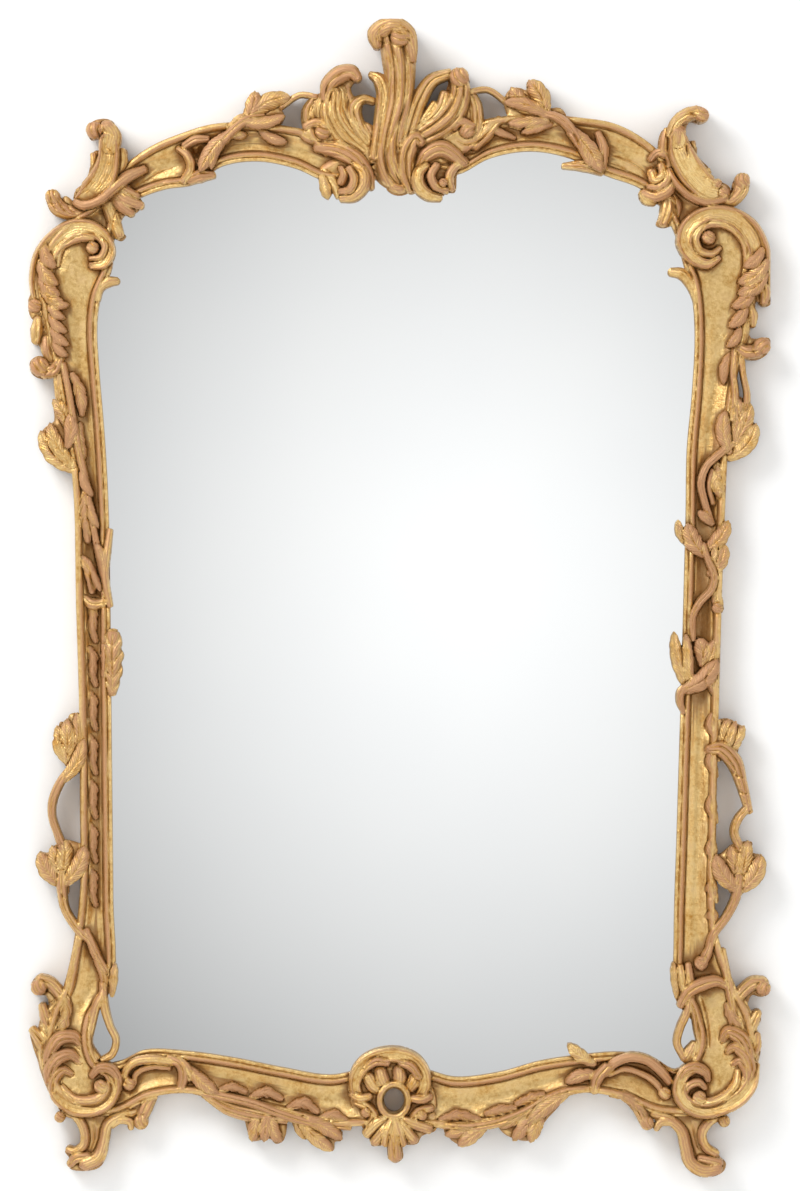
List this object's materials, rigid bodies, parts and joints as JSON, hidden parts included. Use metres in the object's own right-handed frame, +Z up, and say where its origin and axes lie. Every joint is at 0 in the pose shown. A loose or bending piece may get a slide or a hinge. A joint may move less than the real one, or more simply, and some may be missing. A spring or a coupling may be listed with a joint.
{
  "type": "wall mirror",
  "caption": "Upright wall mirror in a carved and gilt wooden scroll frame, with a leafy crest, trailing vines, a pierced shell below and two scroll feet",
  "frame": {"origin": "on the flat back of the frame, behind the middle of the top rail, where the wall face mount is", "axes": "+X to the right as seen from the front, +Y into the wall, +Z up"},
  "size_m": [0.7425, 0.0577, 1.1561],
  "materials": {
    "gilt_wood": "water gilt leaf over warm bole, rubbed and waxed",
    "mirror": "silvered glass",
    "backing": "bare softwood board",
    "hanger_steel": "plain steel"
  },
  "bodies": {
    "root": {"carved_frame": "gilt_wood", "mirror_plate": "mirror", "backing_board": "backing", "hanging_plate_left": "hanger_steel", "hanging_plate_right": "hanger_steel"}
  },
  "joints": []
}
